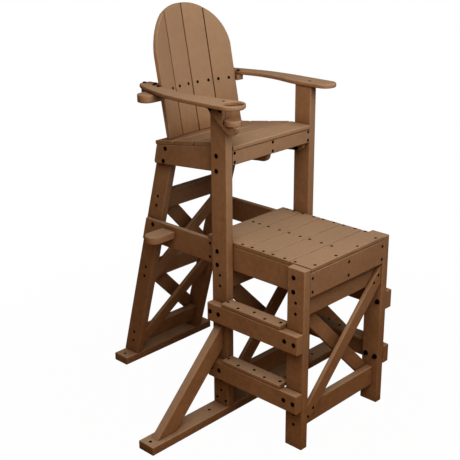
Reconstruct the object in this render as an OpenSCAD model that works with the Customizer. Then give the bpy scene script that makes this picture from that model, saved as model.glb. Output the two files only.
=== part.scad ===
// Lifeguard chair of moulded lumber: an open frame with a raised seat, a deck in front of it and two
// ladder steps on each side. All sizes in millimetres.
// +Z is up, the chair faces -Y, and the sitter's right is -X. Z = 0 is the ground.
// Inside the modules Y = 0 is the front of the tall posts. The whole chair is then moved so that the
// origin is under the middle of its box.

/* [Lumber] */
// thickness of the heavy boards used for posts, legs, runners and step sides
post_t = 43.4; // [40:0.1:52]
// width of the heavy boards
post_w = 98.4; // [90:0.1:106]
// thickness of the boards that cross between two posts or two legs
frame_t = 38.1; // [34:0.1:46]
// width of those boards
frame_h = 102; // [94:0.5:106]
// thickness of the thin boards of the deck, seat, back, arms and steps
board_t = 20.9; // [18:0.1:24]
// width of the thin boards of the deck, seat and back
board_w = 125.7; // [115:0.1:130]
// thickness of the rails under the deck and the seat
rail_t = 25.4; // [22:0.1:30]
// height of the deck rails
rail_h = 122; // [100:1:125]
// width of the crossed braces between the deck posts
deck_brace_w = 70; // [50:0.5:75]
// width of the crossed braces between the tall posts and between the rear legs
post_brace_w = 76; // [60:0.5:85]
// radius of the eased long edges
edge_r = 5.5; // [2:0.5:7]

/* [Overall] */
// width over the tall posts
frame_w = 632.8; // [580:0.1:700]
// height of the tall posts' tops, where the arms rest
arm_z = 1542.2; // [1490:0.1:1600]
// how far the front runner runs on past the foot of each side brace
front_over = 50.4; // [20:0.2:100]
// how far the rear runner runs out past each rear leg
rear_over = 76.5; // [50:0.1:140]
// distance from the front of the tall posts back to the front of the rear runner
rear_run = 756; // [700:0.5:800]

/* [Deck] */
// distance from the front of the tall posts to the front of the deck
deck_reach = 464.3; // [400:0.1:520]
// height of the deck surface
deck_z = 897; // [870:1:930]
// how far the tops of the deck posts lie below the deck surface
deck_drop = 5; // [0:0.5:8]
// gap between deck boards
deck_gap = 0.6; // [0.5:0.1:4]
// height of the front apron board of the deck
deck_apron_h = 121.5; // [100:0.5:122]
// gap between the deck rails and the upper cross boards of the two upright frames
cross_gap = 0; // [0:0.1:30]
// height of the underside of the lower cross boards of the two upright frames
cross_foot = 93.7; // [70:0.5:120]
// slope of the crossed braces in the upright frames
cross_ang = 45; // [42:0.1:48]

/* [Steps] */
// height of the top of the upper step's side board
step_hi = 596.4; // [590:0.1:620]
// height of the top of the lower step's side board
step_lo = 299.4; // [270:0.1:308]
// height of a step's side board
riser_h = 94; // [86:0.5:98]
// how far the rear end of a step's side board stops short of the tall post's rear face
riser_short = 7; // [0:0.5:16]
// width of a step's tread board
tread_w = 70; // [52:0.5:90]
// gap between each end of a tread and the post beside it
tread_gap = 3; // [0.5:0.5:6]

/* [Side braces] */
// width of the raking side braces
prop_w = 90; // [75:0.5:96]
// slope of the side braces
prop_ang = 45; // [43:0.5:48]
// gap between the top of a side brace and the upper step's side board
prop_gap = 12.6; // [0:0.1:20]

/* [Rear legs] */
// backward rake of the rear legs
leg_rake = 15.46; // [14:0.02:16.5]
// distance up the leg to the middle of the lowest cross board
rear_lo = 126; // [110:0.5:150]
// distance up the leg to the middle of the middle cross board
rear_mid = 560; // [530:1:590]
// distance up the leg to the middle of the highest cross board
rear_hi = 992; // [960:1:1020]
// slope of the crossed braces between the rear legs
rear_ang = 45; // [43:0.5:47]
// how far the two braces of a pair are shifted apart along the leg
rear_shift = 22; // [0:1:30]

/* [Seat] */
// height of the front of the seat rails
seat_z = 1335.5; // [1300:0.5:1360]
// downward slope of the seat to the back
seat_slope = 9.03; // [7:0.01:11]
// how far the front seat board stands out in front of the posts
seat_nose = 4.5; // [1:0.5:12]
// gap between seat boards
seat_gap = 9; // [3:0.5:10]
// height of the front apron of the seat
seat_apron_h = 69; // [60:0.5:90]
// height of the seat rails at the tall posts
seat_rail_h = 121; // [110:1:130]
// length of the seat rails behind the front seat board
seat_rail_len = 390; // [370:1:400]
// downward slope of the underside of the seat rails
seat_under = 5.33; // [4:0.01:6]
// radius of the lower front corner of the seat rails
seat_rail_r = 35; // [15:1:40]

/* [Back] */
// backward tilt of the back
back_tilt = 10.97; // [8:0.01:13]
// distance from the front of the tall posts to the back's face at the height back_ref
back_y = 488.7; // [475:0.1:492]
// gap between back boards
back_gap = 4; // [3:0.05:6]
// turn of the two middle back boards
back_in = 7.35; // [4:0.05:9]
// turn of the two outer back boards
back_out = 18.13; // [14:0.01:20]
// length of the back boards from the height back_ref to the centre of the round top
back_arch = 362.5; // [330:0.5:390]

// thickness of the crosspiece behind the back
cross_t = 26; // [20:0.5:38]
// depth of the crosspiece from front to rear
cross_w = 139.7; // [120:0.1:160]
// distance from the front of the tall posts to the front of the crosspiece
cross_y = 461.8; // [455:0.1:470]
// how far the crosspiece runs out past the inner face of the right post
cross_out_right = 3.8; // [0:0.1:10]
// how far it runs out past the inner face of the left post
cross_out_left = 19.5; // [0:0.1:30]

/* [Arms and holders] */
// diameter of the cup hole
cup_d = 89; // [80:1:96]
// radius of the right arm's round front
arm_r_right = 69; // [62:1:74]
// radius of the left arm's round front
arm_r_left = 56; // [50:1:60]
// how far the centre of the right arm's round front lies outside the outer face of its post
arm_x_right = -4; // [-6:0.1:8]
// distance from the front of the tall posts out to the centre of the right arm's round front
arm_y_right = 24; // [20:0.1:40]
// the same distance on the left arm
arm_y_left = 45.2; // [35:0.1:55]
// how far the centre of the left arm's round front lies outside the outer face of its post
arm_x_left = 5.2; // [0:0.1:10]
// how far the centre of the cup hole lies inside the outer face of the right post
cup_in = 5; // [0:0.5:14]
// how far the centre of the cup hole lies in front of the tall posts
cup_out = 40; // [36:0.5:48]
// thickness of the cup shelf
shelf_t = 25.4; // [19:0.1:30]
// diameter of the cup shelf
shelf_d = 78; // [70:0.5:83]
// height of the top of the cup shelf
shelf_z = 1492; // [1475:0.5:1500]
// radius of the round lower end of the cup shelf's bracket
bracket_r = 42; // [34:0.5:46]
// thickness of the two tube blocks
block_t = 38.1; // [30:0.1:46]
// width of the two tube blocks
block_w = 88.9; // [70:0.1:100]
// how far the lower tube block reaches out from the rail
tube_lo_len = 148; // [120:1:170]
// how far the upper tube block reaches out from the end of the back crosspiece
tube_hi_len = 124; // [100:1:150]
// distance from the front of the tall posts to the front of the upper tube block
tube_hi_y = 429.8; // [400:0.1:500]
// distance from the front of the tall posts to the front of the lower tube block
tube_lo_y = 393.8; // [300:0.1:450]
// how far the underside of the lower tube block lies below the top of the rail
tube_lo_drop = 61; // [50:1:90]

/* [Hidden] */
$fn = 48;
seat_fit = 0.5;
half = frame_w/2;
inner = half - post_t;
leg_x = inner - rail_t;
rail_z = deck_z - board_t;
back_ref = seat_z - 28.4;
mid_y = (rear_run + post_w/cos(leg_rake) - deck_reach)/2;
leg_f0 = rear_run + post_t*tan(leg_rake);
cb0 = (post_w - frame_t)/2;
cb1 = cb0 + frame_t;
// heights at the middle of the cross boards
cross_hi = rail_z - rail_h - cross_gap - frame_h/2;
cross_lo = cross_foot + frame_h/2;
// height at the middle of a side brace's upper end
prop_z = step_hi - riser_h - prop_gap - prop_w/2/cos(prop_ang);
prop_foot = half + (prop_z - post_t)/tan(prop_ang) + prop_w/2/sin(prop_ang);
front_runner_len = 2*(prop_foot + front_over);
rear_runner_len = 2*(leg_x + rear_over);
kink = board_w - seat_nose + seat_fit;
slat_p = board_w + back_gap;
back_half = slat_p*(cos(back_in) + cos(back_out));
arch_r = 2*slat_p;
cup_x = cup_in - half;
deck_rear = 5*board_w + 4*deck_gap - deck_reach;
cross_near = inner + cross_out_right;
// depth at which the height of the seat rails is measured
rail_ref = 134;

// section of a board with eased edges, centred
module sec(w, t, r) {
    square([w - 2*r, t], center = true);
    square([w, t - 2*r], center = true);
    for (i = [-1, 1], j = [-1, 1])
        translate([i*(w/2 - r), j*(t/2 - r)]) circle(r = r, $fn = 24);
}

// board along X between two corners
module bar_x(a, b) {
    translate([a[0], 0, 0]) rotate([90, 0, 90]) linear_extrude(b[0] - a[0])
        translate([(a[1] + b[1])/2, (a[2] + b[2])/2]) sec(b[1] - a[1], b[2] - a[2], edge_r);
}

// board along Y between two corners
module bar_y(a, b) {
    translate([0, b[1], 0]) rotate([90, 0, 0]) linear_extrude(b[1] - a[1])
        translate([(a[0] + b[0])/2, (a[2] + b[2])/2]) sec(b[0] - a[0], b[2] - a[2], edge_r);
}

// board along Z between two corners
module bar_z(a, b) {
    translate([0, 0, a[2]]) linear_extrude(b[2] - a[2])
        translate([(a[0] + b[0])/2, (a[1] + b[1])/2]) sec(b[0] - a[0], b[1] - a[1], edge_r);
}

module box(a, b) {
    translate(a) cube(b - a);
}

// the row frame: the origin goes under the middle of the chair
module place() {
    translate([0, -mid_y, 0]) children();
}

// frame of the rear legs: y is depth behind their front faces, z runs up along them
module rear_frame() {
    translate([0, leg_f0, 0]) rotate([leg_rake, 0, 0]) children();
}

// plane of the seat behind the front board: z = 0 is the underside of the boards
module seat_frame() {
    translate([0, kink, seat_z]) rotate([-seat_slope, 0, 0]) children();
}

// frame of the back: y = 0 is its face, z runs up along it
module back_frame() {
    translate([0, back_y, back_ref]) rotate([-back_tilt, 0, 0]) children();
}

module front_runner() {
    color("saddlebrown") place()
        bar_x([-front_runner_len/2, 0, 0], [front_runner_len/2, post_w, post_t]);
}

module rear_runner() {
    color("saddlebrown") place()
        bar_x([-rear_runner_len/2, rear_run, 0], [rear_runner_len/2, rear_run + post_w, post_t]);
}

module front_post(s) {
    color("peru") place() scale([s, 1, 1])
        bar_z([inner, 0, post_t], [half, post_w, arm_z]);
}

module front_post_right() { front_post(-1); }
module front_post_left() { front_post(1); }

module deck_post(s) {
    color("peru") place() scale([s, 1, 1])
        bar_z([inner, -deck_reach, 0], [half, post_w - deck_reach, deck_z - deck_drop]);
}

module deck_post_right() { deck_post(-1); }
module deck_post_left() { deck_post(1); }

module rear_leg(s) {
    color("peru") place() scale([s, 1, 1]) difference() {
        rear_frame() bar_z([leg_x - post_t, 0, -60], [leg_x, post_w, seat_z + 200]);
        box([0, 0, -200], [half, rear_run + 400, post_t]);
        seat_frame() box([0, -200, 0], [half, 700, 500]);
    }
}

module rear_leg_right() { rear_leg(-1); }
module rear_leg_left() { rear_leg(1); }

module side_brace(s) {
    color("peru") place() scale([s, 1, 1]) difference() {
        translate([half, 0, prop_z]) rotate([0, 90 + prop_ang, 0])
            bar_z([-prop_w/2, (post_w - post_t)/2, -200], [prop_w/2, (post_w + post_t)/2, 900]);
        box([0, 0, 0], [half, post_w, 900]);
        box([0, 0, -900], [half + 900, post_w, post_t]);
        box([0, 0, step_lo - riser_h], [half + post_t, post_w, step_lo]);
    }
}

module side_brace_right() { side_brace(-1); }
module side_brace_left() { side_brace(1); }

module deck_rail(s) {
    color("peru") place() scale([s, 1, 1]) difference() {
        bar_y([leg_x, rail_t - deck_reach, rail_z - rail_h], [inner, rear_run + post_w, rail_z]);
        rear_frame() box([0, post_w - 20, 0], [half, rear_run, seat_z]);
    }
}

module deck_rail_right() { deck_rail(-1); }
module deck_rail_left() { deck_rail(1); }

module deck_rail_centre() {
    color("peru") place()
        bar_y([-rail_t/2, rail_t - deck_reach, rail_z - rail_h],
            [rail_t/2, deck_rear - rail_t, rail_z]);
}

module deck_apron() {
    color("peru") place()
        bar_x([-inner, -deck_reach, rail_z - deck_apron_h], [inner, rail_t - deck_reach, rail_z]);
}

module deck_rear_board() {
    color("peru") place()
        bar_x([-leg_x, deck_rear - rail_t, rail_z - rail_h], [leg_x, deck_rear, rail_z]);
}

module deck_boards() {
    color("burlywood") place() for (i = [0:4]) {
        y = i*(board_w + deck_gap) - deck_reach;
        bar_x([-inner, y, rail_z], [inner, y + board_w, deck_z]);
    }
}

// upper and lower heavy boards across one upright frame whose posts' front face is at y
module frame_boards(y) {
    for (z = [cross_lo, cross_hi])
        bar_x([-inner, y + cb0, z - frame_h/2], [inner, y + cb1, z + frame_h/2]);
}

// two thin braces of width w crossing on the faces of those boards
module frame_braces(y, w) {
    for (k = [0, 1]) intersection() {
        translate([0, y + (k == 0 ? cb0 - board_t : cb1), (cross_hi + cross_lo)/2])
            rotate([0, (k == 0 ? 90 - cross_ang : cross_ang - 90), 0])
            bar_z([-w/2, 0, -600], [w/2, board_t, 600]);
        box([-inner, y, cross_lo - frame_h/2], [inner, y + post_w, cross_hi + frame_h/2]);
    }
}

module deck_frame_boards() { color("sienna") place() frame_boards(-deck_reach); }
module deck_frame_braces() { color("peru") place() frame_braces(-deck_reach, deck_brace_w); }
module post_frame_boards() { color("sienna") place() frame_boards(0); }
module post_frame_braces() { color("peru") place() frame_braces(0, post_brace_w); }

module rear_frame_boards() {
    color("sienna") place() rear_frame() for (z = [rear_lo, rear_mid, rear_hi])
        bar_x([post_t - leg_x, cb0, z - frame_h/2], [leg_x - post_t, cb1, z + frame_h/2]);
}

// one brace of a crossed pair between two of the rear boards
module rear_brace(a, b, k) {
    w = leg_x - post_t;
    intersection() {
        translate([0, (k == 0 ? cb0 - board_t : cb1), (a + b)/2 + (k == 0 ? -rear_shift : rear_shift)])
            rotate([0, (k == 0 ? 90 - rear_ang : rear_ang - 90), 0])
            bar_z([-post_brace_w/2, 0, -500], [post_brace_w/2, board_t, 500]);
        box([-w, 0, a - frame_h/2], [w, post_w, b + frame_h/2]);
    }
}

module rear_frame_braces() {
    color("peru") place() rear_frame() for (k = [0, 1]) {
        rear_brace(rear_lo, rear_mid, k);
        rear_brace(rear_mid, rear_hi, k);
    }
}

module step_risers(s) {
    color("peru") place() scale([s, 1, 1]) for (z = [step_lo, step_hi])
        bar_y([half, -deck_reach, z - riser_h], [half + post_t, post_w - riser_short, z]);
}

module step_risers_right() { step_risers(-1); }
module step_risers_left() { step_risers(1); }

module step_treads(s) {
    color("burlywood") place() scale([s, 1, 1]) for (z = [step_lo, step_hi])
        bar_y([half + post_t - tread_w, post_w - deck_reach + tread_gap, z],
            [half + post_t, -tread_gap, z + board_t]);
}

module step_treads_right() { step_treads(-1); }
module step_treads_left() { step_treads(1); }

// side view of a seat rail, drawn as x = depth and y = height
module rail_side() {
    y0 = board_t + seat_fit;
    r = seat_rail_r;
    yr = kink + seat_rail_len;
    z0 = seat_z - seat_rail_h + (rail_ref - y0)*tan(seat_under);
    z1 = z0 - (yr + 15 - y0)*tan(seat_under);
    cz = z0 - r*tan(seat_under) + r/cos(seat_under);
    difference() {
        polygon([[y0, seat_z], [kink, seat_z], [yr, seat_z - (yr - kink)*tan(seat_slope)],
            [yr + 20, z1 + 12], [yr + 15, z1], [y0, z0]]);
        difference() {
            translate([y0 - 9, z0 - 9]) square([r - r*sin(seat_under) + 9, cz - z0 + 9]);
            translate([y0 + r, cz]) circle(r = r + 0.3, $fn = 72);
        }
    }
}

module seat_rail(x) {
    color("peru") place() translate([x, 0, 0]) rotate([90, 0, 90]) linear_extrude(rail_t) rail_side();
}

module seat_rail_right() { seat_rail(-inner); }
module seat_rail_left() { seat_rail(leg_x); }
module seat_rail_centre() { seat_rail(-rail_t/2); }

module seat_apron() {
    color("peru") place()
        bar_x([-inner, 0, seat_z - seat_apron_h], [inner, board_t, seat_z]);
}

module seat_slats() {
    color("burlywood") place() {
        bar_x([seat_fit - inner, -seat_nose, seat_z],
            [inner - seat_fit, board_w - seat_nose, seat_z + board_t]);
        seat_frame() for (i = [0:2]) {
            y = seat_gap/2 + i*(board_w + seat_gap);
            bar_x([seat_fit - inner, y, 0], [inner - seat_fit, y + board_w, board_t]);
        }
    }
}

// frame of one back board: i = 0 inner, 1 outer; x runs out along the board from its inner edge
module board_frame(i) {
    a = (i == 0) ? back_in : back_out;
    x = (i == 0) ? 0 : slat_p*cos(back_in);
    y = (i == 0) ? 0 : -slat_p*sin(back_in)*cos(back_tilt);
    back_frame() translate([x, y, 0]) rotate([0, 0, -a]) children();
}

// front view of one back board, with the round top
module back_board(i) {
    g = back_gap/2;
    intersection() {
        translate([g, -120]) square([board_w, 900]);
        union() {
            translate([-i*slat_p, back_arch]) circle(r = arch_r, $fn = 180);
            translate([-i*slat_p - arch_r, -200]) square([2*arch_r, back_arch + 200]);
        }
    }
}

module back_slats() {
    color("burlywood") place() for (s = [-1, 1], i = [0, 1]) scale([s, 1, 1]) difference() {
        board_frame(i) translate([0, board_t, 0]) rotate([90, 0, 0])
            linear_extrude(board_t) back_board(i);
        seat_frame() box([-600, -100, -500], [600, 700, board_t]);
    }
}

// all the space in front of the back faces of the back boards, near the height of the arms
module back_space() {
    z = arm_z - back_ref;
    for (s = [-1, 1], i = [0, 1]) scale([s, 1, 1]) board_frame(i)
        box([-6, -170, z - 135], [slat_p + (i == 1 ? 0 : 6), board_t, z + 165]);
}

module back_crosspiece() {
    color("sienna") place() difference() {
        box([-cross_near, cross_y, arm_z - cross_t],
            [inner + cross_out_left, cross_y + cross_w, arm_z]);
        back_space();
    }
}

// smooth curve through a list of points
function cr(p, i, t) = let (n = len(p), a = p[max(i - 1, 0)], b = p[i], c = p[i + 1],
    d = p[min(i + 2, n - 1)])
    0.5*((2*b) + (c - a)*t + (2*a - 5*b + 4*c - d)*t*t + (3*b - a - 3*c + d)*t*t*t);
function curve(p, k) = [for (i = [0:len(p) - 2], j = [0:k - 1]) cr(p, i, j/k), p[len(p) - 1]];
function arc(c, r, a0, a1, k) = [for (j = [0:k]) let (a = a0 + (a1 - a0)*j/k)
    [c[0] + r*cos(a), c[1] + r*sin(a)]];

// plan of an arm on the +X side: x is measured from the outer face of the post, and the arm has a
// round front of radius r about the point (cx, cy); its rear inner corner follows the back's side
module arm_plan(r, cx, cy) {
    b = back_y;
    v = back_half - half;
    front = arc([cx, cy], r, 180, 360, 24);
    outer = curve([[cx + r, cy], [cx + r + 2, 65], [67, 205], [56, b - 138], [31, b - 37], [4, b + 52],
        [-27, b + 110]], 6);
    rear = [[-37, b + 119], [v - 28, b + 119], [v - 36, b + 110], [v - 36, b + 37], [v - 31, b + 27],
        [v - 19, b + 21], [v + 7, b + 20], [v + 14, b - 3]];
    inside = curve([[-47, b - 33], [-25, b - 133], [-27, b - 253], [-50, 105], [cx - r, cy]], 6);
    translate([half, 0]) polygon(concat(front, outer, rear, inside));
}

module arm_right() {
    color("burlywood") place() difference() {
        translate([0, 0, arm_z]) linear_extrude(board_t) difference() {
            scale([-1, 1]) arm_plan(arm_r_right, arm_x_right, -arm_y_right);
            translate([cup_x, -cup_out]) circle(d = cup_d, $fn = 72);
        }
        back_space();
    }
}

module arm_left() {
    color("burlywood") place() difference() {
        translate([0, 0, arm_z]) linear_extrude(board_t) arm_plan(arm_r_left, arm_x_left, -arm_y_left);
        back_space();
    }
}

module cup_bracket() {
    r = bracket_r;
    z = shelf_z - shelf_t;
    m = -r - seat_fit;
    y = m + r*cos(43);
    color("peru") place() translate([-half - board_t, 0, 0]) rotate([90, 0, 90])
        linear_extrude(board_t) difference() {
            polygon([[0, arm_z], [100, arm_z], [95, arm_z - 15], [78, arm_z - 35],
                [y, z - r*sin(43)], [y, z - r - 5], [m - r - 5, z - r - 5], [m - r - 5, z], [0, z]]);
            difference() {
                translate([m - r - 9, z - r - 9]) square([y - m + r + 9, r + 15]);
                translate([m, z]) circle(r = r, $fn = 72);
                translate([y - 30, z]) square([60, 20]);
            }
        }
}

module cup_shelf() {
    color("burlywood") place() translate([cup_x, -cup_out, shelf_z - shelf_t])
        cylinder(d = shelf_d, h = shelf_t, $fn = 72);
}

module tube_block(x, y, z, len) {
    r = block_w/2;
    color("peru") place() translate([0, 0, z]) linear_extrude(block_t) {
        translate([x - len + r, y]) square([len - r, block_w]);
        translate([x - len + r, y + r]) circle(r = r, $fn = 72);
    }
}

module tube_block_upper() { tube_block(-cross_near, tube_hi_y, arm_z - block_t, tube_hi_len); }
module tube_block_lower() { tube_block(-inner, tube_lo_y, rail_z - tube_lo_drop, tube_lo_len); }

front_runner();
rear_runner();
front_post_right();
front_post_left();
deck_post_right();
deck_post_left();
rear_leg_right();
rear_leg_left();
side_brace_right();
side_brace_left();
deck_rail_right();
deck_rail_left();
deck_rail_centre();
deck_apron();
deck_rear_board();
deck_boards();
deck_frame_boards();
deck_frame_braces();
post_frame_boards();
post_frame_braces();
rear_frame_boards();
rear_frame_braces();
step_risers_right();
step_risers_left();
step_treads_right();
step_treads_left();
seat_rail_right();
seat_rail_left();
seat_rail_centre();
seat_apron();
seat_slats();
back_slats();
back_crosspiece();
arm_right();
arm_left();
cup_bracket();
cup_shelf();
tube_block_upper();
tube_block_lower();
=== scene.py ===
"""Looks for the lifeguard chair: camera, soft studio light, brown plastic-lumber boards and their hardware.

Everything is in metres, in the row frame. Places are read from the CAD nodes' boxes, so they follow the
frame, and the rest are millimetres that row() turns into that frame.
"""

import math

import bmesh
import bpy
from mathutils import Matrix, Vector


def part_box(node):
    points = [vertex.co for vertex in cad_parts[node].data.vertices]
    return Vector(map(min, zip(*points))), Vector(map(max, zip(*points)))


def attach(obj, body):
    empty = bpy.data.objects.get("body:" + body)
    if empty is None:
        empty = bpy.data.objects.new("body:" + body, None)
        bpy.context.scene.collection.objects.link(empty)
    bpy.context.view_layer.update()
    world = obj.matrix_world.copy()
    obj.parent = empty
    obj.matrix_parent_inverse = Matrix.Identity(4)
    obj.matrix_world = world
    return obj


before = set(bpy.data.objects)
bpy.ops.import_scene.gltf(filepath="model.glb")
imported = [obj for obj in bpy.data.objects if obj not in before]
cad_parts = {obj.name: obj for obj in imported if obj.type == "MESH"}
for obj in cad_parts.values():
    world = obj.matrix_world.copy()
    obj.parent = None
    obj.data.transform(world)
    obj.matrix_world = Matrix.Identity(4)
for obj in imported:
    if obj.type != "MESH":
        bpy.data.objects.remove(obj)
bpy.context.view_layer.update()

MM = 0.001
WHITE = (1, 1, 1)
RIGHT_OUT = (-1, 0, 0)             # away from the sitter's right side
LEFT_OUT = (1, 0, 0)
AHEAD = (0, -1, 0)
UP = (0, 0, 1)

# ---------------------------------------------------------------- reference planes, from the frame
post_lo, post_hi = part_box("front_post_right")
FRONT = post_lo.y                  # front face of the tall posts
POST_OUTER = post_lo.x             # outer face of the right-hand posts
POST_INNER = post_hi.x             # their inner face
RAIL_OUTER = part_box("deck_rail_right")[0].x
DECK_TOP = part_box("deck_boards")[1].z
ARM_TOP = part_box("arm_right")[1].z


def row(x, y, z):
    """A point in millimetres, measured from the middle, the tall posts' front face and the ground."""
    return Vector((x * MM, FRONT + y * MM, z * MM))


def top_mm(node):
    """The height of a node's top, in millimetres."""
    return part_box(node)[1].z / MM


# ---------------------------------------------------------------- camera
CAMERA_AT = (-3252.1, -2830.7, 2472.0)
YAW, PITCH, ROLL = (math.radians(turn) for turn in (46.257, -20.21, -0.407))
SENSOR_WIDTH = 36
FOCAL_LENGTH = 74.21713
VIEW_END = 60                      # how far the camera sees, and the floor's reach


def add_camera():
    """The camera at the photograph's viewing angle. Yaw turns it from +Y towards +X."""
    ahead = Vector((math.sin(YAW) * math.cos(PITCH), math.cos(YAW) * math.cos(PITCH), math.sin(PITCH)))
    level = Vector((math.cos(YAW), -math.sin(YAW), 0))
    over = level.cross(ahead)
    right = math.cos(ROLL) * level + math.sin(ROLL) * over
    up = -math.sin(ROLL) * level + math.cos(ROLL) * over
    data = bpy.data.cameras.new("camera")
    data.sensor_width = SENSOR_WIDTH
    data.lens = FOCAL_LENGTH
    data.clip_end = VIEW_END
    camera = bpy.data.objects.new("camera", data)
    bpy.context.scene.collection.objects.link(camera)
    axes = Matrix((right, up, -ahead)).transposed().to_4x4()
    camera.matrix_world = Matrix.Translation(row(*CAMERA_AT)) @ axes
    bpy.context.scene.camera = camera


# ---------------------------------------------------------------- light
FILL = 0.03                        # strength of the light from all round
FILL_TINT = (1, 0.62, 0.36)


def seen_direct(nodes, links):
    """1 for rays that come from the camera, a mirror or glass, so that those show the white backdrop."""
    path = nodes.new("ShaderNodeLightPath")
    shown = path.outputs["Is Camera Ray"]
    for kind in ("Is Glossy Ray", "Is Transmission Ray"):
        more = nodes.new("ShaderNodeMath")
        more.operation = "MAXIMUM"
        links.new(shown, more.inputs[0])
        links.new(path.outputs[kind], more.inputs[1])
        shown = more.outputs[0]
    return shown


def add_world():
    """A warm dim fill light, which shows as plain white where it is looked at."""
    world = bpy.data.worlds.new("studio")
    bpy.context.scene.world = world
    world.use_nodes = True
    nodes, links = world.node_tree.nodes, world.node_tree.links
    nodes.clear()
    mix = nodes.new("ShaderNodeMixShader")
    links.new(seen_direct(nodes, links), mix.inputs["Fac"])
    for spot, (tint, strength) in enumerate(((FILL_TINT, FILL), (WHITE, 1.0)), start=1):
        light = nodes.new("ShaderNodeBackground")
        light.inputs["Color"].default_value = (*tint, 1)
        light.inputs["Strength"].default_value = strength
        links.new(light.outputs[0], mix.inputs[spot])
    out = nodes.new("ShaderNodeOutputWorld")
    links.new(mix.outputs[0], out.inputs["Surface"])


def add_softbox(name, place, aim, size, power):
    """A square area lamp at place that faces aim: size in metres, power in watts."""
    data = bpy.data.lights.new(name, "AREA")
    data.shape = "SQUARE"
    data.size = size
    data.energy = power
    lamp = bpy.data.objects.new(name, data)
    bpy.context.scene.collection.objects.link(lamp)
    lamp.location = place
    lamp.rotation_euler = (aim - place).to_track_quat("-Z", "Y").to_euler()


# ---------------------------------------------------------------- rounded edges
SEAM = 0.00002                     # corners closer than this are one corner
FLAT = math.radians(0.5)           # faces that meet at less than this are one face
SHARP = math.radians(40)           # edges that turn more than this are rounded
ROUNDING = {
    0.007: ("arm_right", "arm_left"),
    0.005: ("tube_block_upper", "tube_block_lower", "back_crosspiece"),
    0.004: ("seat_rail_right", "seat_rail_left", "seat_rail_centre"),
    0.003: ("seat_slats", "deck_boards", "step_treads_right", "step_treads_left", "step_risers_right",
            "step_risers_left", "deck_post_right", "deck_post_left", "front_runner", "rear_runner",
            "deck_apron", "back_slats", "cup_shelf", "cup_bracket"),
}


def soften(piece, width):
    """Rounds a piece's sharp edges, as the moulded boards' routed ones are.

    The CAD mesh is triangles that share no corners, so these are joined and made whole faces first.
    """
    weld = piece.modifiers.new("shared_edges", "WELD")
    weld.merge_threshold = SEAM
    flatten = piece.modifiers.new("whole_faces", "DECIMATE")
    flatten.decimate_type = "DISSOLVE"
    flatten.angle_limit = FLAT
    bevel = piece.modifiers.new("soft_edges", "BEVEL")
    bevel.width = width
    bevel.segments = 3
    bevel.limit_method = "ANGLE"
    bevel.angle_limit = SHARP


# ---------------------------------------------------------------- node helpers
class Shader:
    """A short way to write a material's nodes."""

    def __init__(self, name):
        self.material = bpy.data.materials.new(name)
        self.material.use_nodes = True
        self.nodes = self.material.node_tree.nodes
        self.links = self.material.node_tree.links
        self.body = self.nodes["Principled BSDF"]
        self.body.inputs["Specular IOR Level"].default_value = 0.0
        self.place = self.nodes.new("ShaderNodeTexCoord").outputs["Object"]

    def add(self, kind, **values):
        node = self.nodes.new("ShaderNode" + kind)
        for key, value in values.items():
            setattr(node, key, value)
        return node

    def noise(self, scale, detail, rough=0.55):
        node = self.add("TexNoise")
        node.inputs["Scale"].default_value = scale
        node.inputs["Detail"].default_value = detail
        node.inputs["Roughness"].default_value = rough
        self.links.new(self.place, node.inputs["Vector"])
        return node.outputs["Fac"]

    def axes(self, reading):
        """The X, Y and Z of the surface's Normal or Position."""
        split = self.add("SeparateXYZ")
        self.links.new(self.add("NewGeometry").outputs[reading], split.inputs[0])
        return split.outputs

    def openness(self, distance):
        """1 in the open, towards 0 where other surfaces stand within distance."""
        node = self.add("AmbientOcclusion", samples=8)
        node.inputs["Distance"].default_value = distance
        return node.outputs["AO"]

    def ramp(self, fac, stops):
        node = self.add("ValToRGB")
        while len(node.color_ramp.elements) < len(stops):
            node.color_ramp.elements.new(0.5)
        for element, (spot, colour) in zip(node.color_ramp.elements, stops):
            element.position = spot
            element.color = (*colour, 1)
        self.links.new(fac, node.inputs["Fac"])
        return node.outputs["Color"]

    def spread(self, fac, low, high, new_low, new_high):
        """Maps low to new_low and high to new_high, and holds the ends."""
        node = self.add("MapRange")
        node.inputs["From Min"].default_value = low
        node.inputs["From Max"].default_value = high
        node.inputs["To Min"].default_value = new_low
        node.inputs["To Max"].default_value = new_high
        self.links.new(fac, node.inputs["Value"])
        return node.outputs[0]

    def times(self, a, b):
        """The product of a socket and a number or another socket."""
        node = self.add("Math", operation="MULTIPLY")
        self.links.new(a, node.inputs[0])
        if isinstance(b, float):
            node.inputs[1].default_value = b
        else:
            self.links.new(b, node.inputs[1])
        return node.outputs[0]

    def plus(self, a, b):
        node = self.add("Math", operation="ADD")
        self.links.new(a, node.inputs[0])
        self.links.new(b, node.inputs[1])
        return node.outputs[0]

    def toward(self, colour, target, fac):
        """Colour, moved towards the fixed colour target by fac."""
        node = self.add("Mix", data_type="RGBA")
        self.links.new(fac, node.inputs[0])
        self.links.new(colour, node.inputs[6])
        node.inputs[7].default_value = (*target, 1)
        return node.outputs[2]

    def finish(self, colour, roughness, height, depth):
        """Joins colour, roughness and bump to the surface. Depth is the bump's height in metres."""
        self.links.new(colour, self.body.inputs["Base Color"])
        self.links.new(roughness, self.body.inputs["Roughness"])
        bump = self.add("Bump")
        bump.inputs["Strength"].default_value = 0.6
        bump.inputs["Distance"].default_value = depth
        self.links.new(height, bump.inputs["Height"])
        self.links.new(bump.outputs[0], self.body.inputs["Normal"])
        return self.material


# ---------------------------------------------------------------- materials
BROWNS = [
    (0.36, (0.168, 0.066, 0.023)),
    (0.50, (0.218, 0.094, 0.035)),
    (0.64, (0.275, 0.126, 0.051)),
]
# paler tone for the painted light on tops and on upper faces in the open
PAINTED_LIGHT_COLOUR = (0.36, 0.26, 0.17)
PALE_FLECK = (0.40, 0.26, 0.16)
DARK_FLECK = (0.12, 0.055, 0.024)
PAINTED_CORNER_SHADE = (0.058, 0.016, 0.004)      # painted shade in the corners
LINE = (0.030, 0.008, 0.002)       # where boards touch
ASIDE, SQUARE_ON = 0.1, 0.95       # a normal's part along an axis, where the painted light starts and is full


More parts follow.
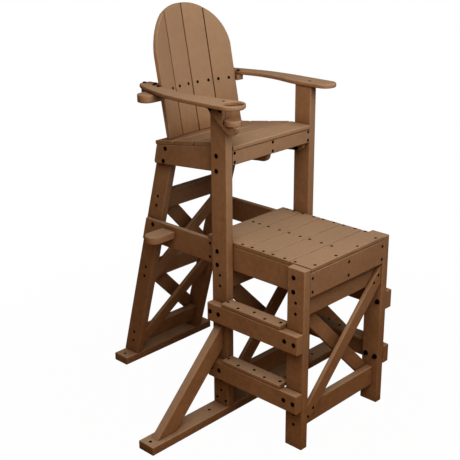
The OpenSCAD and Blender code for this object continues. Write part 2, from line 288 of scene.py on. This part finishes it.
def lumber_material():
    """Moulded plastic lumber: brown, matt and speckled, with broad drifts in tone.

    Tops, and the upper faces in front and behind where nothing stands close, are painted paler: painted
    light, from how the light falls on them. Corners get painted shade, and the lines between boards are
    darkest.
    """
    s = Shader("plastic_lumber")
    drift = s.noise(3.5, detail=2)
    mottle = s.noise(38, detail=4, rough=0.6)
    speckle = s.noise(330, detail=2, rough=0.7)
    fleck = s.noise(760, detail=1, rough=0.5)
    tone = s.plus(s.times(drift, 0.30), s.plus(s.times(mottle, 0.30), s.times(speckle, 0.40)))
    colour = s.ramp(tone, BROWNS)

    normal = s.axes("Normal")
    ahead_or_behind = s.times(normal["Y"], normal["Y"])
    left_or_right = s.times(normal["X"], normal["X"])
    # painted light: paler tops, and paler upper faces ahead, behind and at the sides, more so higher up and
    # in the open
    on_top = s.spread(normal["Z"], ASIDE, SQUARE_ON, 0.0, 0.50)
    on_front = s.spread(ahead_or_behind, ASIDE ** 2, SQUARE_ON ** 2, 0.0, 0.34)
    on_side = s.spread(left_or_right, ASIDE ** 2, SQUARE_ON ** 2, 0.0, 0.06)
    aloft = s.spread(s.axes("Position")["Z"], 0.3, 1.4, 0.0, 1.1)
    open_air = s.spread(s.openness(0.35), 0.35, 0.80, 0.0, 1.0)
    painted_light = s.times(s.plus(on_top, s.times(s.plus(on_front, on_side), aloft)), open_air)

    # painted light: colour moved towards the paler tone where light falls
    colour = s.toward(colour, PAINTED_LIGHT_COLOUR, painted_light)
    colour = s.toward(colour, PALE_FLECK, s.spread(fleck, 0.60, 0.72, 0.0, 0.35))
    colour = s.toward(colour, DARK_FLECK, s.spread(fleck, 0.38, 0.28, 0.0, 0.40))
    # painted shade: darker where other surfaces stand close, in corners and between parts
    colour = s.toward(colour, PAINTED_CORNER_SHADE, s.spread(s.openness(0.09), 0.25, 0.97, 0.45, 0.0))
    colour = s.toward(colour, LINE, s.spread(s.openness(0.012), 0.2, 0.75, 0.75, 0.0))
    roughness = s.spread(s.plus(s.times(mottle, 0.6), s.times(speckle, 0.4)), 0.3, 0.7, 0.52, 0.68)
    height = s.plus(s.times(speckle, 0.5), s.plus(s.times(fleck, 0.25), s.times(mottle, 0.6)))
    return s.finish(colour, roughness, height, 0.0010)


def bolt_material():
    """Black coated steel: bolt heads, washers and nuts."""
    s = Shader("black_steel")
    grain = s.noise(700, detail=3)
    colour = s.ramp(s.noise(160, detail=4, rough=0.65), [
        (0.35, (0.0015, 0.0010, 0.0008)),
        (0.62, (0.0035, 0.0022, 0.0018)),
        (0.80, (0.0120, 0.0080, 0.0060)),
    ])
    return s.finish(colour, s.spread(grain, 0.3, 0.7, 0.45, 0.62), grain, 0.0003)


def screw_material():
    """Dark bronze coated screws."""
    s = Shader("bronze_screw")
    grain = s.noise(900, detail=3)
    colour = s.ramp(s.noise(260, detail=4), [
        (0.35, (0.003, 0.0012, 0.0005)),
        (0.60, (0.006, 0.0025, 0.0012)),
        (0.80, (0.016, 0.008, 0.004)),
    ])
    return s.finish(colour, s.spread(grain, 0.3, 0.7, 0.45, 0.65), grain, 0.0003)


def floor_material():
    """A floor that shows white, and keeps the object's own soft shadow near it.

    Its brown is what it throws back at the chair. The camera sees a trace of it up to near metres from the
    middle, then less and less, and plain white beyond far.
    """
    near, far, near_white = 0.9, 2.6, 0.985
    s = Shader("studio_floor")
    s.body.inputs["Roughness"].default_value = 0.9
    bounce = s.ramp(s.noise(60, detail=3), [(0.3, (0.27, 0.15, 0.07)), (0.7, (0.31, 0.17, 0.08))])
    s.links.new(bounce, s.body.inputs["Base Color"])
    white = s.add("Emission")
    white.inputs["Color"].default_value = (*WHITE, 1)
    white.inputs["Strength"].default_value = 1.0
    away = s.add("VectorMath", operation="LENGTH")
    s.links.new(s.place, away.inputs[0])
    cover = s.spread(away.outputs["Value"], near, far, near_white, 1.0)
    mix = s.add("MixShader")
    s.links.new(s.times(seen_direct(s.nodes, s.links), cover), mix.inputs["Fac"])
    s.links.new(s.body.outputs[0], mix.inputs[1])
    s.links.new(white.outputs[0], mix.inputs[2])
    s.links.new(mix.outputs[0], s.nodes["Material Output"].inputs["Surface"])
    return s.material


# ---------------------------------------------------------------- hardware, in mesh code
TURN = 24                          # points round a bolt or screw

# Profiles, as rings of (radius, height over the board, corners), from under the board's face to the middle
# of the head. A ring with 6 corners is a hexagon: the nut's sides, or the socket for the key.
BOLT = [(0.0112, -0.0012, 0), (0.0112, 0.0004, 0), (0.0106, 0.0012, 0), (0.0096, 0.0013, 0),
        (0.0092, 0.0008, 0), (0.0088, 0.0020, 0), (0.0074, 0.0034, 0), (0.0054, 0.0040, 0),
        (0.0040, 0.0040, 6), (0.0038, 0.0006, 6)]
NUT = [(0.0125, -0.0010, 0), (0.0125, 0.0014, 0), (0.0118, 0.0020, 0), (0.0095, 0.0020, 6),
       (0.0095, 0.0092, 6), (0.0086, 0.0104, 0), (0.0056, 0.0104, 0), (0.0054, 0.0150, 0),
       (0.0046, 0.0158, 0)]
SCREW = [(0.0076, -0.0008, 0), (0.0076, 0.0002, 0), (0.0069, 0.0009, 0), (0.0042, 0.0012, 0),
         (0.0026, 0.0011, 6), (0.0022, 0.0003, 6)]


def ring(bm, at, across, out, radius, rise, corners):
    """A ring of points round an axis. With corners it is a polygon of that many sides, radius to a flat."""
    points = []
    for k in range(TURN):
        angle = 2 * math.pi * k / TURN
        reach = radius
        if corners:
            part = 2 * math.pi / corners
            reach = radius / math.cos((angle % part) - part / 2)
        side = across * math.cos(angle) + out.cross(across) * math.sin(angle)
        points.append(bm.verts.new(at + side * reach + out * rise))
    return points


def lathe(bm, at, out, profile):
    """Joins the rings of a profile into a closed skin, capped at both ends."""
    across = out.orthogonal().normalized()
    if abs(out.z) < 0.9:
        across = out.cross(Vector(UP)).normalized()
    rings = [ring(bm, at, across, out, *spec) for spec in profile]
    bm.faces.new(list(reversed(rings[0])))
    for lower, upper in zip(rings, rings[1:]):
        for k in range(TURN):
            j = (k + 1) % TURN
            bm.faces.new((lower[k], lower[j], upper[j], upper[k]))
    bm.faces.new(rings[-1])


def hardware(name, profile, places, material):
    """One piece that holds a bolt, nut or screw at every (point, outward direction) in places."""
    mesh = bpy.data.meshes.new(name)
    bm = bmesh.new()
    for at, out in places:
        lathe(bm, at, Vector(out).normalized(), profile)
    bmesh.ops.recalc_face_normals(bm, faces=bm.faces)
    bm.to_mesh(mesh)
    bm.free()
    mesh.materials.append(material)
    piece = bpy.data.objects.new(name, mesh)
    bpy.context.scene.collection.objects.link(piece)
    for polygon in mesh.polygons:
        polygon.use_smooth = True
    mesh.set_sharp_from_angle(angle=math.radians(35))
    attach(piece, "root")


# ---------------------------------------------------------------- where the hardware goes
# Distances are in millimetres. y runs back from the tall posts' front face, and z up from the ground.
RAILS = [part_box(name)[0].x / 2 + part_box(name)[1].x / 2
         for name in ("deck_rail_right", "deck_rail_centre", "deck_rail_left")]


def both(places):
    """The same places on the sitter's right, and mirrored on the left."""
    return places + [(Vector((-p.x, p.y, p.z)), (-d[0], d[1], d[2])) for p, d in places]


def on_side(x, spots, out=RIGHT_OUT):
    """Places on a face that looks sideways: x in metres, spots as (y, z)."""
    return [(Vector((x, FRONT + y * MM, z * MM)), out) for y, z in spots]


def step_bolt_spots():
    """Four bolts in the side of each step, two into each post. The foremost one sits a little lower."""
    upper = top_mm("step_risers_right") - 43
    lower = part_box("step_risers_right")[0].z / MM + 51
    spots = ((18, 0), (71.5, 0), (-391, 0), (-444.5, -2))
    return [(y, middle + rise) for middle in (upper, lower) for y, rise in spots]


def side_bolts():
    """Bolts through the posts and the steps' sides, heads on the outside."""
    deck_rail_z = top_mm("deck_rail_right") - 61
    seat_rail_z = top_mm("seat_apron") - 65.5
    spots = [(62, seat_rail_z + 40), (62, seat_rail_z - 31)]
    for post_y in (63, -401.7):
        spots += [(post_y, deck_rail_z + 34), (post_y, deck_rail_z - 34)]
    heads = on_side(POST_OUTER, spots) + on_side(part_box("step_risers_right")[0].x, step_bolt_spots())
    return both(heads)


def rail_bolts():
    """Bolts through the rear ends of the seat and deck rails into the raked legs."""
    return both(on_side(RAIL_OUTER, [(447.8, 1265), (464.8, 1199.6), (558.8, 851)]))


def bracket_bolts():
    """Bolts through the cup bracket into the tall post."""
    return on_side(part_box("cup_bracket")[0].x, [(77.8, 1530), (16.8, 1530)])


def arm_bolts():
    """Bolts down through the rear of the arms into the crosspiece."""
    spots = ((-256, 600), (-266, 518), (-236, 545), (-276, 478))
    return both([(row(x, y, ARM_TOP / MM), UP) for x, y in spots])


def side_nuts():
    """Nuts on the inner faces, where the bolts come out."""
    nuts = on_side(POST_INNER, step_bolt_spots(), LEFT_OUT)
    nuts += on_side(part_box("seat_rail_right")[1].x, [(64.4, 1305), (64.4, 1235)], LEFT_OUT)
    return both(nuts)


def board_ends(node, y):
    """Two spots, one above the other, on the end of each board of a node with two boards."""
    half_board, apart, lift = 51, 26.8, 2.8
    lo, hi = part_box(node)
    middles = (hi.z / MM - half_board + lift, lo.z / MM + half_board + lift)
    return [(y, middle + step) for middle in middles for step in (apart, -apart)]


def side_screws():
    """Screws through the posts, the deck rail and the raked legs into the boards between them."""
    spots = board_ends("post_frame_boards", 46) + board_ends("deck_frame_boards", -416.5)
    spots += [(74.5, 73), (16.5, 70)]
    legs = [(541.8, 998), (554.8, 947), (654.8, 585), (669.8, 530), (772.8, 169), (783.8, 116)]
    places = on_side(POST_OUTER, spots)
    places += on_side(RAIL_OUTER, [(152.8, 854), (154.3, 785)])
    places += on_side(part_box("rear_leg_right")[0].x, legs)
    return both(places)


def deck_screws():
    """Screws down through the deck boards into the rails, and through the apron into the rails' ends."""
    places = []
    for y in (-363, -303, -233, -176, -107, -48, 23, 81, 123):
        places += [(Vector((x, FRONT + y * MM, DECK_TOP)), UP) for x in RAILS]
    places += [(row(x, -450, DECK_TOP / MM), UP) for x in (-230, -81, 79, 222)]
    lo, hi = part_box("deck_apron")
    return places + apron_screws(lo.y, (hi.z - 0.029, lo.z + 0.027))


def seat_screws():
    """Screws through the seat's apron into the rails' ends."""
    lo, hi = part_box("seat_apron")
    return apron_screws(lo.y, (hi.z - 0.012, lo.z + 0.015))


def apron_screws(y, heights):
    """One screw at each height into each rail's end. Both are in metres."""
    return [(Vector((x, y, z)), AHEAD) for x in RAILS for z in heights]


def tread_screws():
    """Screws down through the treads into the steps' sides, in a zigzag."""
    lo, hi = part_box("step_treads_right")
    tread = 0.0209
    spots = ((-327, -16), (-347, -98), (-327, -182), (-347, -263), (-327, -341))
    return both([(row(x, y, top / MM), UP) for top in (hi.z, lo.z + tread) for x, y in spots])


def back_screws():
    """Screws through the back boards into the crosspiece behind, two in each board.

    The back leans by tilt. Seen along it, each half is two boards, the inner turned forward by inner_turn
    and the outer by outer_turn, and the middle of the back crosses z = back_z at y = back_y.
    """
    tilt, inner_turn, outer_turn = (math.radians(turn) for turn in (10.97, 7.35, 18.13))
    back_y, back_z, screws_z, board_pitch = 488.7, 1307.1, 1533, 129.7
    inner, outer = (inner_turn, 0), (outer_turn, board_pitch)
    places = []
    for side in (-1, 1):
        for along, (turn, start) in ((32, inner), (100, inner), (30, outer), (90, outer)):
            x = start * math.cos(inner_turn) + along * math.cos(turn)
            fore = start * math.sin(inner_turn) * math.cos(tilt) + along * math.sin(turn)
            up = (screws_z - back_z - fore * math.sin(tilt)) / math.cos(tilt)
            y = back_y + up * math.sin(tilt) - fore * math.cos(tilt)
            flat_out = math.cos(turn)
            out = (side * -math.sin(turn), -flat_out * math.cos(tilt), flat_out * math.sin(tilt))
            places.append((row(side * x, y, screws_z), out))
    return places


def brace_screws():
    """Screws through the ends of the deck frame's front brace."""
    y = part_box("deck_frame_braces")[0].y
    spots = ((-222, 183), (-257, 151), (254, 700), (220, 670))
    return [(Vector((x * MM, y, z * MM)), AHEAD) for x, z in spots]


def top_screws():
    """Screws down into the runners, and through the front of the arms."""
    places = [(row(x, 49.2, top_mm("front_runner")), UP) for x in (-784, -398, 398, 784)]
    places += [(row(x, 804, top_mm("rear_runner")), UP) for x in (-293, 293)]
    return places + both([(row(-300, 28, ARM_TOP / MM), UP)])


# ---------------------------------------------------------------- build
add_camera()
add_world()
chair_middle = row(0, 100, 900)
add_softbox("key", row(-1400, -1900, 3300), chair_middle, 2.8, 97)
add_softbox("high_front", row(0, -1500, 3300), row(0, 300, 1300), 2.4, 40)
add_softbox("high_left", row(-2000, 0, 3600), chair_middle, 1.6, 20)
add_softbox("low_left", row(-2600, -2400, 1300), chair_middle, 1.5, 10)
add_softbox("behind", row(1100, 3000, 1500), chair_middle, 2.4, 25)

lumber = lumber_material()
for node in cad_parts.values():
    node.data.materials.clear()
    node.data.materials.append(lumber)
for width, names in ROUNDING.items():
    for name in names:
        soften(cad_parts[name], width)

black = bolt_material()
hardware("side_bolt_heads", BOLT, side_bolts(), black)
hardware("rail_bolt_heads", BOLT, rail_bolts(), black)
hardware("bracket_bolt_heads", BOLT, bracket_bolts(), black)
hardware("arm_bolt_heads", BOLT, arm_bolts(), black)
hardware("side_nuts", NUT, side_nuts(), black)

bronze = screw_material()
hardware("side_screws", SCREW, side_screws(), bronze)
hardware("deck_screws", SCREW, deck_screws(), bronze)
hardware("seat_screws", SCREW, seat_screws(), bronze)
hardware("tread_screws", SCREW, tread_screws(), bronze)
hardware("back_screws", SCREW, back_screws(), bronze)
hardware("brace_screws", SCREW, brace_screws(), bronze)
hardware("top_screws", SCREW, top_screws(), bronze)

floor_mesh = bpy.data.meshes.new("floor")
corners = [(x * VIEW_END, y * VIEW_END, 0) for x, y in ((-1, -1), (1, -1), (1, 1), (-1, 1))]
floor_mesh.from_pydata(corners, [], [(0, 1, 2, 3)])
floor_mesh.materials.append(floor_material())
floor = bpy.data.objects.new("floor", floor_mesh)
bpy.context.scene.collection.objects.link(floor)

bpy.context.scene.view_settings.view_transform = "Standard"
